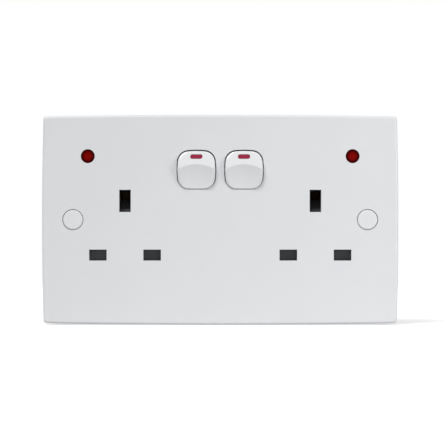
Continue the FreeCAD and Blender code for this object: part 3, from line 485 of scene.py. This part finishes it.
def neon_red(name):
    """Tinted lens over its lamp: red in the middle, with painted shade darkening it to nearly
    black at the rim.
    """
    material = moulding(
        name, (0.2, 0.002, 0.001), (0.175, 0.001, 0.0), gloss=(0.2, 0.3), clouds=300.0,
        Specular_IOR_Level=0.03,
    )
    tree = material.node_tree
    shader = tree.nodes["Principled BSDF"]
    tint = shader.inputs["Base Color"].links[0].from_socket
    place = next(node for node in tree.nodes if node.type == "TEX_COORD")
    split = tree.nodes.new("ShaderNodeSeparateXYZ")
    tree.links.new(place.outputs["Object"], split.inputs["Vector"])
    across = maths(tree, "SUBTRACT", maths(tree, "ABSOLUTE", split.outputs["X"]), LENS_X)
    up = maths(tree, "SUBTRACT", split.outputs["Z"], LENS_Z)
    across_squared = maths(tree, "MULTIPLY", across, across)
    up_squared = maths(tree, "MULTIPLY", up, up)
    from_middle = maths(tree, "SQRT", maths(tree, "ADD", across_squared, up_squared))
    # Painted shade: the lens's red fades towards its rim, where the shade of its hole falls
    rim_shade = tree.nodes.new("ShaderNodeMapRange")
    rim_shade.interpolation_type = "SMOOTHSTEP"
    rim_shade.inputs["From Min"].default_value = 0.3 * LENS_RADIUS
    rim_shade.inputs["From Max"].default_value = 0.92 * LENS_RADIUS
    tree.links.new(from_middle, rim_shade.inputs["Value"])
    # The near-black colour of the painted rim shade
    colour = blend_colours(tree, rim_shade.outputs["Result"], tint, (0.04, 0.0, 0.0))
    tree.links.new(colour, shader.inputs["Base Color"])
    return material


MATERIALS = {
    "white_moulding": moulding("white_moulding", (0.70, 0.71, 0.725), (0.685, 0.695, 0.71)),
    "housing_moulding": moulding(
        "housing_moulding", (0.64, 0.64, 0.62), (0.6, 0.6, 0.58), gloss=(0.5, 0.62), peel=2600.0,
        bump=0.3,
    ),
    "rocker_white": moulding(
        "rocker_white", (0.71, 0.715, 0.725), (0.7, 0.705, 0.715), gloss=(0.16, 0.24)
    ),
    "cap_white": moulding(
        "cap_white", (0.72, 0.73, 0.745), (0.705, 0.715, 0.73), gloss=(0.18, 0.26)
    ),
    "plunger_nylon": moulding(
        "plunger_nylon", (0.72, 0.71, 0.66), (0.68, 0.67, 0.61), gloss=(0.35, 0.5)
    ),
    "shutter_grey": moulding(
        "shutter_grey", (0.042, 0.042, 0.045), (0.034, 0.034, 0.037), gloss=(0.42, 0.6),
        peel=2200.0, bump=0.25,
    ),
    "flash_red": moulding(
        "flash_red", (0.29, 0.017, 0.052), (0.275, 0.015, 0.047), gloss=(0.3, 0.4),
        Specular_IOR_Level=0.15,
    ),
    "neon_red": neon_red("neon_red"),
    "resistor_body": moulding(
        "resistor_body", (0.55, 0.4, 0.24), (0.48, 0.34, 0.2), gloss=(0.35, 0.5)
    ),
    "lamp_glass": moulding("lamp_glass", (0.85, 0.7, 0.6), (0.8, 0.62, 0.5), gloss=(0.03, 0.06)),
    "brass": metal("brass", (0.72, 0.5, 0.2), (0.55, 0.36, 0.13)),
    # Painted shade: a near-black brass for the earth clips, standing for the shade deep inside the
    # earth slots
    "slot_shade_brass": metal("slot_shade_brass", (0.1, 0.065, 0.035), (0.07, 0.045, 0.025), gloss=(0.5, 0.7)),
    "plated_steel": metal("plated_steel", (0.66, 0.66, 0.64), (0.5, 0.5, 0.49), gloss=(0.22, 0.4)),
    "spring_steel": metal("spring_steel", (0.5, 0.5, 0.5), (0.38, 0.38, 0.37), gloss=(0.25, 0.4)),
}


# The plate

def is_mouth(*points):
    """Whether an edge bounds an opening in the plate's flat face."""
    rim = 6 * MM
    return all(
        point.y < plate_face + ON_FACE
        and abs(point.x) < plate_high.x - rim and abs(point.z) < plate_high.z - rim
        for point in points
    )


def is_rocker_mouth(*points):
    """Whether it bounds one of the two openings that the rockers stand in."""
    reach = 9 * MM
    return is_mouth(*points) and all(
        point.z > PIVOT_Z - reach and abs(point.x) < ROCKER_X + reach for point in points
    )


def is_pin_mouth(*points):
    return is_mouth(*points) and not is_rocker_mouth(*points)


def bow_side(piece, middle, way, reach):
    """Pulls a side's middle outwards and lets the rest of it follow in an even arc."""
    pick(piece, lambda point: (point.co - middle).length < ON_FACE, "vertices")
    bpy.ops.transform.translate(
        value=way, use_proportional_edit=True, proportional_edit_falloff="INVERSE_SQUARE",
        proportional_size=reach,
    )


def roll_front_edge(steps=8):
    """Takes the front face on in small steps, each drawn in further, to a quarter round."""
    inset, rise = 0.0, 0.0
    for step in range(1, steps + 1):
        turn = step * math.pi / 2 / steps
        further, higher = FRONT_ROLL * (1 - math.cos(turn)), FRONT_ROLL * math.sin(turn)
        bpy.ops.mesh.extrude_region_move(
            TRANSFORM_OT_translate={"value": (0.0, rise - higher, 0.0)}
        )
        bpy.ops.transform.resize(
            value=(
                (plate_high.x - further) / (plate_high.x - inset), 1.0,
                (plate_high.z - further) / (plate_high.z - inset),
            ),
            center_override=(0.0, 0.0, 0.0),
        )
        inset, rise = further, higher


def make_plate_block():
    """The plate's outside: four bowed sides, round corners and a rolled front edge."""
    deselect()
    bpy.ops.mesh.primitive_plane_add(size=1.0, rotation=(math.pi / 2, 0.0, 0.0))
    block = bpy.context.active_object
    half_x, half_z = plate_high.x - SIDE_BOW, plate_high.z - SIDE_BOW
    block.scale = (2 * half_x, 2 * half_z, 1.0)
    settle(block)
    edit(block, "VERT")
    bpy.ops.mesh.select_all(action="SELECT")
    bpy.ops.mesh.delete(type="ONLY_FACE")
    bpy.ops.mesh.select_all(action="SELECT")
    bpy.ops.mesh.subdivide(number_cuts=39)
    for side in (-1, 1):
        bow_side(block, Vector((side * half_x, 0.0, 0.0)), (side * SIDE_BOW, 0.0, 0.0), half_z)
        bow_side(block, Vector((0.0, 0.0, side * half_z)), (0.0, 0.0, side * SIDE_BOW), half_x)
    pick(
        block,
        lambda point: abs(abs(point.co.x) - half_x) + abs(abs(point.co.z) - half_z) < 2 * ON_FACE,
        "vertices",
    )
    bpy.ops.mesh.bevel(offset=CORNER_RADIUS, segments=6, affect="VERTICES")
    bpy.ops.mesh.select_all(action="SELECT")
    bpy.ops.mesh.edge_face_add()
    bpy.ops.mesh.select_mode(type="FACE")
    straight = -plate_face - FRONT_ROLL
    bpy.ops.mesh.extrude_region_move(TRANSFORM_OT_translate={"value": (0.0, -straight, 0.0)})
    roll_front_edge()
    bpy.ops.mesh.select_all(action="SELECT")
    bpy.ops.mesh.normals_make_consistent(inside=False)
    leave()
    return block


def trim(piece, reach_x, reach_z):
    """Cuts the four borders off a piece."""
    edit(piece)
    ways = {(1, 0, 0): reach_x, (-1, 0, 0): reach_x, (0, 0, 1): reach_z, (0, 0, -1): reach_z}
    for way, reach in ways.items():
        bpy.ops.mesh.select_all(action="SELECT")
        bpy.ops.mesh.bisect(
            plane_co=Vector(way) * reach, plane_no=way, use_fill=True, clear_outer=True
        )
    leave()


def make_plate():
    """The solid's own middle, with every opening, in a border rolled more finely."""
    reach_x, reach_z = plate_high.x - BORDER, plate_high.z - BORDER
    hollow_x = plate_high.x - SIDE_BOW - SKIRT_WALL
    hollow_y = plate_face + FRONT_WALL
    hollow_z = plate_high.z - SIDE_BOW - SKIRT_WALL
    plate = copy_of("front_plate", "plate_moulding")
    trim(plate, reach_x, reach_z)
    border = make_plate_block()
    hollow = make_box((-hollow_x, hollow_y, -hollow_z), (hollow_x, OVERCUT, hollow_z))
    combine(border, hollow, "DIFFERENCE")
    middle = make_box((-reach_x, plate_face - OVERCUT, -reach_z), (reach_x, OVERCUT, reach_z))
    combine(border, middle, "DIFFERENCE")
    combine(plate, border, "UNION")
    ease_edges(plate, EASE["pin_mouth"], is_pin_mouth)
    ease_edges(plate, EASE["rocker_mouth"], is_rocker_mouth, 4)
    smooth(plate)
    finish_piece(plate, "socket", "white_moulding", MATERIALS["white_moulding"], "front_plate")


# The rockers

def halve(piece, level, keep_front):
    """Cuts a rocker square to its own front, that far behind its hinge line."""
    back = Vector(TO_BACK)
    edit(piece)
    bpy.ops.mesh.select_all(action="SELECT")
    bpy.ops.mesh.bisect(
        plane_co=Vector((0.0, PIVOT_Y, PIVOT_Z)) + back * level, plane_no=back, use_fill=True,
        clear_outer=keep_front, clear_inner=not keep_front,
    )
    leave()


def seat_on_rocker(piece, centre):
    """Takes a piece made about the hinge line to its rocker, leaning as the rocker does."""
    piece.rotation_euler = (ROCKER_LEAN, 0.0, 0.0)
    piece.location = (centre, PIVOT_Y, PIVOT_Z)
    settle(piece)
    return piece


def make_thumb_dish(centre):
    """The hollow that the thumb presses: wider curved up and down than across."""
    deselect()
    bpy.ops.mesh.primitive_uv_sphere_add(segments=160, ring_count=120, radius=DISH_RADIUS)
    dish = bpy.context.active_object
    dish.scale = (1.0, 1.0, DISH_STRETCH)
    settle(dish)
    dish.rotation_euler = (DISH_LEAN, 0.0, 0.0)
    dish.location = (
        0.0, -DISH_DEPTH - DISH_RADIUS, DISH_LEVEL - DISH_RADIUS * math.sin(DISH_LEAN)
    )
    settle(dish)
    return seat_on_rocker(dish, centre)


def make_flash_bar(name, grow):
    """A bar with round ends, square to the rocker, that stands through its brow."""
    deselect()
    bpy.ops.mesh.primitive_cube_add(size=1.0, location=(0.0, FLASH_MIDDLE, FLASH_LEVEL))
    bar = bpy.context.active_object
    bar.name = name
    bar.scale = (FLASH_WIDTH + 2 * grow, FLASH_DEPTH, FLASH_HEIGHT + 2 * grow)
    settle(bar)
    points = bar.data.vertices

    def runs_through(edge):
        start, end = (points[at].co.y for at in edge.vertices)
        return abs(start - end) > FLASH_DEPTH / 2

    edit(bar, "EDGE")
    pick(bar, runs_through, "edges")
    bpy.ops.mesh.bevel(offset=FLASH_END_SHARE * FLASH_HEIGHT, segments=6, affect="EDGES")
    leave()
    return bar


def make_flash(side):
    """The red insert, a little below the brow that it shows through."""
    bar = make_flash_bar(f"{side}_flash_bar", 0.0)
    brow = Vector((0.0, -math.cos(BROW_LEAN), math.sin(BROW_LEAN)))
    face = Vector((0.0, -BROW_RISE, FLASH_LEVEL)) - brow * FLASH_RECESS

    def bounds_face(edge):
        return all(
            abs((bar.data.vertices[end].co - face).dot(brow)) < ON_FACE for end in edge.vertices
        )

    edit(bar)
    bpy.ops.mesh.select_all(action="SELECT")
    bpy.ops.mesh.bisect(plane_co=face, plane_no=brow, use_fill=True, clear_outer=True)
    pick(bar, bounds_face, "edges")
    bpy.ops.mesh.bevel(offset=FLASH_EASE, segments=3, affect="EDGES")
    leave()
    seat_on_rocker(bar, sideways(side, ROCKER_X))
    smooth(bar)
    finish_piece(
        bar, f"{side}_switch_rocker", "flash_red", MATERIALS["flash_red"], f"{side}_rocker_flash"
    )


def rim_share(across, up):
    """How near a point of the rocker's front is to its rounded outline, from 0 to 1."""
    across, up = abs(across / ROCKER_HALF), abs(up / ROCKER_HALF)
    reach = (across ** OUTLINE_POWER + up ** OUTLINE_POWER) ** (1 / OUTLINE_POWER)
    return min(max((reach - RIM_START) / RIM_WIDTH, 0.0), 1.0)


def roll_rim(rocker, centre):
    """Rolls the rim of the pressed faces over, more than the other edges."""
    _, slope, climb = TO_BACK
    rim = rocker.vertex_groups.new(name="rim")
    for vertex in rocker.data.vertices:
        back, up = vertex.co.y - PIVOT_Y, vertex.co.z - PIVOT_Z
        if back * slope + up * climb < RIM_LEVEL:
            height = up * slope - back * climb
            rim.add([vertex.index], rim_share(vertex.co.x - centre, height), "REPLACE")
    roll = rocker.modifiers.new("roll", "SMOOTH")
    roll.factor = 0.5
    roll.iterations = RIM_PASSES
    roll.vertex_group = "rim"
    apply_all(rocker)
    rocker.vertex_groups.clear()


def fill_out_front(front):
    """Brings the foot of the pressed front forward and fills its hollow up."""
    def on_foot(point):
        return point.co.z < PIVOT_Z + FOOT_TOP and point.co.y < PIVOT_Y + FOOT_BACK

    edit(front, "VERT")
    pick(front, on_foot, "vertices")
    bpy.ops.transform.translate(value=tuple(-FOOT_LIFT * part for part in TO_BACK))
    bpy.ops.mesh.select_all(action="SELECT")
    bpy.ops.mesh.convex_hull()
    leave()


def make_rocker(side):
    """The pressed front is filled out, its rim rolled and the dish cut; the works stay."""
    centre = sideways(side, ROCKER_X)
    works = copy_of(f"{side}_rocker", f"{side}_rocker_moulding")
    front = copy_of(f"{side}_rocker", f"{side}_front")
    halve(works, WORKS_CUT, keep_front=False)
    halve(front, FRONT_CUT, keep_front=True)
    fill_out_front(front)
    soften(front, CELL, 2)
    roll_rim(front, centre)
    combine(front, make_thumb_dish(centre), "DIFFERENCE")
    for part in (front, works):
        seat = seat_on_rocker(make_flash_bar("seat", FLASH_GAP), centre)
        combine(part, seat, "DIFFERENCE")
    only(works)
    front.select_set(True)
    bpy.ops.object.join()
    soften(works, CELL, 3)
    only(works)
    bpy.ops.object.shade_smooth()
    finish_piece(
        works, f"{side}_switch_rocker", "rocker_white", MATERIALS["rocker_white"], f"{side}_rocker"
    )


# Small parts, housing and screws

def body_and_slot(node):
    """The body that carries a solid, and the slot that its finish comes from."""
    groups = frame["record"]["behaviour"]["bodies"]
    body = next(name for name, nodes in groups.items() if node in nodes)
    rows = frame["record"]["subparts"]
    return body, next(row["material_slot"] for row in rows if row["node"] == node)


def make_eased(node, width, wanted=lambda *ends: True, segments=3):
    """A solid's own form with those of its sharp edges eased that the test wants."""
    body, slot = body_and_slot(node)
    piece = copy_of(node, f"{node}_eased")
    ease_edges(piece, width, wanted, segments)
    smooth(piece)
    finish_piece(piece, body, slot, MATERIALS[slot], node)


def make_turned(node, width, segments=4):
    """A turned or moulded round piece, its front rim rolled over."""
    behind_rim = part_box(node)[0].y + 0.5 * MM
    make_eased(node, width, lambda *ends: all(end.y < behind_rim for end in ends), segments)


def make_resistor(side):
    """The barrel's ends are dipped round; its wires stay as bent."""
    node = f"{side}_neon_resistor"
    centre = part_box(node)[0].y + RESISTOR_RADIUS

    def on_barrel(*ends):
        return all(
            math.hypot(end.y - centre, end.z - LENS_Z) > RESISTOR_RADIUS - 3 * ON_FACE
            for end in ends
        ) and abs(ends[0].x - ends[1].x) < ON_FACE

    make_eased(node, EASE["resistor"], on_barrel)


def make_spring(node, wire, turns, axis):
    """A coil of round wire in its solid's place."""
    body, slot = body_and_slot(node)
    way = Vector(axis)
    corners = [point.co for point in NODES[node].data.vertices]
    reaches = [corner.dot(way) for corner in corners]
    begin, end = min(reaches), max(reaches)
    middle = sum(corners, Vector((0.0, 0.0, 0.0))) / len(corners)
    outer = max((corner - middle - way * (corner - middle).dot(way)).length for corner in corners)
    start = (outer - wire / 2, 0.0, wire / 2)
    pitch = (end - begin - wire) / turns
    seat = middle + way * (begin - middle.dot(way))
    coil = wind_wire(f"{node}_wound", 10, wire / 2, start, pitch, turns, 24)
    coil.rotation_mode = "QUATERNION"
    coil.rotation_quaternion = Vector((0.0, 0.0, 1.0)).rotation_difference(way)
    coil.location = seat
    settle(coil)
    smooth(coil, 50)
    finish_piece(coil, body, slot, MATERIALS[slot], node)
    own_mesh(coil)


def make_springs(side):
    """One in the rocker's stem behind the plunger, and one under the shutter."""
    make_spring(
        f"{side}_plunger_spring", PLUNGER_WIRE, PLUNGER_TURNS, TO_BACK,
    )
    make_spring(
        f"{side}_shutter_spring", SHUTTER_WIRE, SHUTTER_TURNS, (0.0, 0.0, 1.0),
    )


def make_housing():
    """The back shell, its outer corners rounded as they leave the mould."""
    low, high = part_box("rear_housing")
    skin = 10 * ON_FACE

    def outside(*ends):
        return all(
            abs(end.x) > WAIST - skin or end.z > high.z - skin or end.z < low.z + skin
            for end in ends
        ) and all(end.y > high.y - skin for end in ends)

    make_eased("rear_housing", EASE["housing"], outside, 4)


def make_housing_screws():
    """Pan heads: the rim of each head is domed down to its seat."""
    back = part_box("housing_screws")[1].y
    make_eased(
        "housing_screws", EASE["pan_head"],
        lambda *ends: all(end.y > back - 5 * ON_FACE for end in ends), 4,
    )


def make_screw_thread(side):
    """A rolled thread up a fixing screw's shank, down to its root."""
    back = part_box("fixing_screws")[1].y
    turns = int((back - THREAD_START) / THREAD_PITCH) - 1
    start = (SHANK_RADIUS - THREAD_WIRE, 0.0, 0.0)
    thread = wind_wire(f"{side}_screw_thread", 4, THREAD_WIRE, start, THREAD_PITCH, turns, 20)
    thread.rotation_euler = (-math.pi / 2, 0.0, 0.0)
    thread.location = (sideways(side, FIXING_X), THREAD_START + THREAD_PITCH / 2, 0.0)
    settle(thread)
    smooth(thread, 50)
    return thread


def turn_down_shank(screws, centre):
    """Draws a screw's shank in to its thread's root, from the thread's start on."""
    def on_shank(point):
        return (
            point.co.y > THREAD_START - THREAD_RUNOUT and point.co.x * centre > 0
            and math.hypot(point.co.x - centre, point.co.z) > SHANK_RADIUS - 5 * ON_FACE
        )

    edit(screws, "VERT")
    pick(screws, on_shank, "vertices")
    bpy.ops.transform.resize(
        value=(ROOT_SHARE, 1.0, ROOT_SHARE), center_override=(centre, 0.0, 0.0)
    )
    leave()


def make_fixing_screws():
    """The wall screws: rounded heads, and a shank turned down to carry its thread."""
    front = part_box("fixing_screws")[0].y
    screws = copy_of("fixing_screws", "fixing_screws_threaded")
    ease_edges(
        screws, EASE["fixing_head"], lambda *ends: all(end.y < front + 5 * ON_FACE for end in ends)
    )
    for side in SIDES:
        turn_down_shank(screws, sideways(side, FIXING_X))
    smooth(screws)
    threads = [make_screw_thread(side) for side in SIDES]
    only(screws)
    for thread in threads:
        thread.select_set(True)
    bpy.ops.object.join()
    finish_piece(screws, "socket", "plated_steel", MATERIALS["plated_steel"], "fixing_screws")


def dress_solids():
    """Gives each solid the material of its slot; the earth clips behind the slots get a near-black
    brass that paints the shade inside the slots.
    """
    for part in frame["record"]["subparts"]:
        node = NODES[part["node"]]
        node.data.materials.clear()
        # The earth clips take the near-black brass, with the slots' shade painted into its colour
        shaded_clip = part["node"].endswith("_earth_contact")
        node.data.materials.append(MATERIALS["slot_shade_brass" if shaded_clip else part["material_slot"]])


dress_solids()
make_plate()
for side in SIDES:
    make_rocker(side)
    make_flash(side)
    make_turned(f"{side}_screw_cap", EASE["screw_cap"])
    make_turned(f"{side}_neon_lens", EASE["neon_lens"])
    make_turned(f"{side}_neon_lamp", EASE["neon_lamp"], 6)
    make_resistor(side)
    make_springs(side)
    make_eased(f"{side}_shutter", EASE["shutter"])
make_housing()
make_housing_screws()
make_fixing_screws()
for wire in ("live", "neutral", "earth"):
    make_eased(f"{wire}_terminal", EASE["terminal"])


# Floor, light and camera

def is_seen(tree):
    """One for rays from the camera, or seen by gloss or through glass."""
    path = tree.nodes.new("ShaderNodeLightPath")
    seen = path.outputs["Is Camera Ray"]
    for label in ("Is Glossy Ray", "Is Transmission Ray"):
        seen = maths(tree, "MAXIMUM", seen, path.outputs[label])
    return seen


def make_world():
    """White to look at, and a weaker, even fill for the light that it gives."""
    world = bpy.data.worlds.new("studio")
    bpy.context.scene.world = world
    world.use_nodes = True
    tree = world.node_tree
    fill = tree.nodes["Background"]
    fill.inputs["Color"].default_value = (1.0, 1.0, 1.0, 1.0)
    fill.inputs["Strength"].default_value = 0.3
    white = tree.nodes.new("ShaderNodeBackground")
    white.inputs["Color"].default_value = (1.0, 1.0, 1.0, 1.0)
    white.inputs["Strength"].default_value = 1.0
    mix = tree.nodes.new("ShaderNodeMixShader")
    tree.links.new(is_seen(tree), mix.inputs[0])
    tree.links.new(fill.outputs[0], mix.inputs[1])
    tree.links.new(white.outputs[0], mix.inputs[2])
    tree.links.new(mix.outputs[0], tree.nodes["World Output"].inputs["Surface"])


def make_floor():
    """A pale floor that meets the white behind it and keeps the socket's shadow."""
    bpy.ops.mesh.primitive_plane_add(size=1.2, location=(0.0, 0.0, plate_low.z - 0.1 * MM))
    floor = bpy.context.active_object
    floor.name = "floor"
    settle(floor)
    material = bpy.data.materials.new("pale_floor")
    material.use_nodes = True
    tree = material.node_tree
    shader = tree.nodes["Principled BSDF"]
    shader.inputs["Base Color"].default_value = (0.6, 0.6, 0.6, 1.0)
    shader.inputs["Roughness"].default_value = 0.9
    shader.inputs["Emission Color"].default_value = (1.0, 1.0, 1.0, 1.0)
    tree.links.new(
        maths(tree, "MULTIPLY", is_seen(tree), 0.55), shader.inputs["Emission Strength"]
    )
    floor.data.materials.append(material)


def make_lamp(name, place, size, watts):
    """A square soft lamp that faces the plate's middle."""
    deselect()
    bpy.ops.object.light_add(type="AREA", location=place)
    lamp = bpy.context.active_object
    lamp.name = name
    lamp.data.size = size
    lamp.data.energy = watts
    lamp.rotation_mode = "QUATERNION"
    lamp.rotation_quaternion = (-Vector(place)).to_track_quat("-Z", "Y")


def make_key_light():
    """A broad, even light from above and a little to the left."""
    bpy.ops.object.light_add(type="SUN", location=(-0.4, -0.6, 1.0))
    key = bpy.context.active_object
    key.name = "key"
    key.data.energy = 2.25
    key.data.angle = math.radians(24)
    key.rotation_mode = "QUATERNION"
    key.rotation_quaternion = Vector((0.42, 0.6, -1.0)).to_track_quat("-Z", "Y")


def make_camera():
    """Square to the plate, from far enough away that its sides hardly show."""
    half = PHOTO_WIDTH / 2
    across = (half - PLATE_CENTRE_PIXEL[0]) / PIXELS_PER_METRE
    up = (PLATE_CENTRE_PIXEL[1] - half) / PIXELS_PER_METRE
    place = (across, plate_face - CAMERA_DISTANCE, up)
    bpy.ops.object.camera_add(location=place, rotation=(math.pi / 2, 0.0, 0.0))
    camera = bpy.context.active_object
    camera.data.sensor_width = 36.0
    camera.data.lens = 36.0 * CAMERA_DISTANCE * PIXELS_PER_METRE / PHOTO_WIDTH
    bpy.context.scene.camera = camera


make_world()
make_floor()
make_key_light()
make_lamp("right", (0.55, -0.4, 0.1), 0.3, 1.7)
make_camera()
bpy.context.scene.view_settings.view_transform = "Standard"
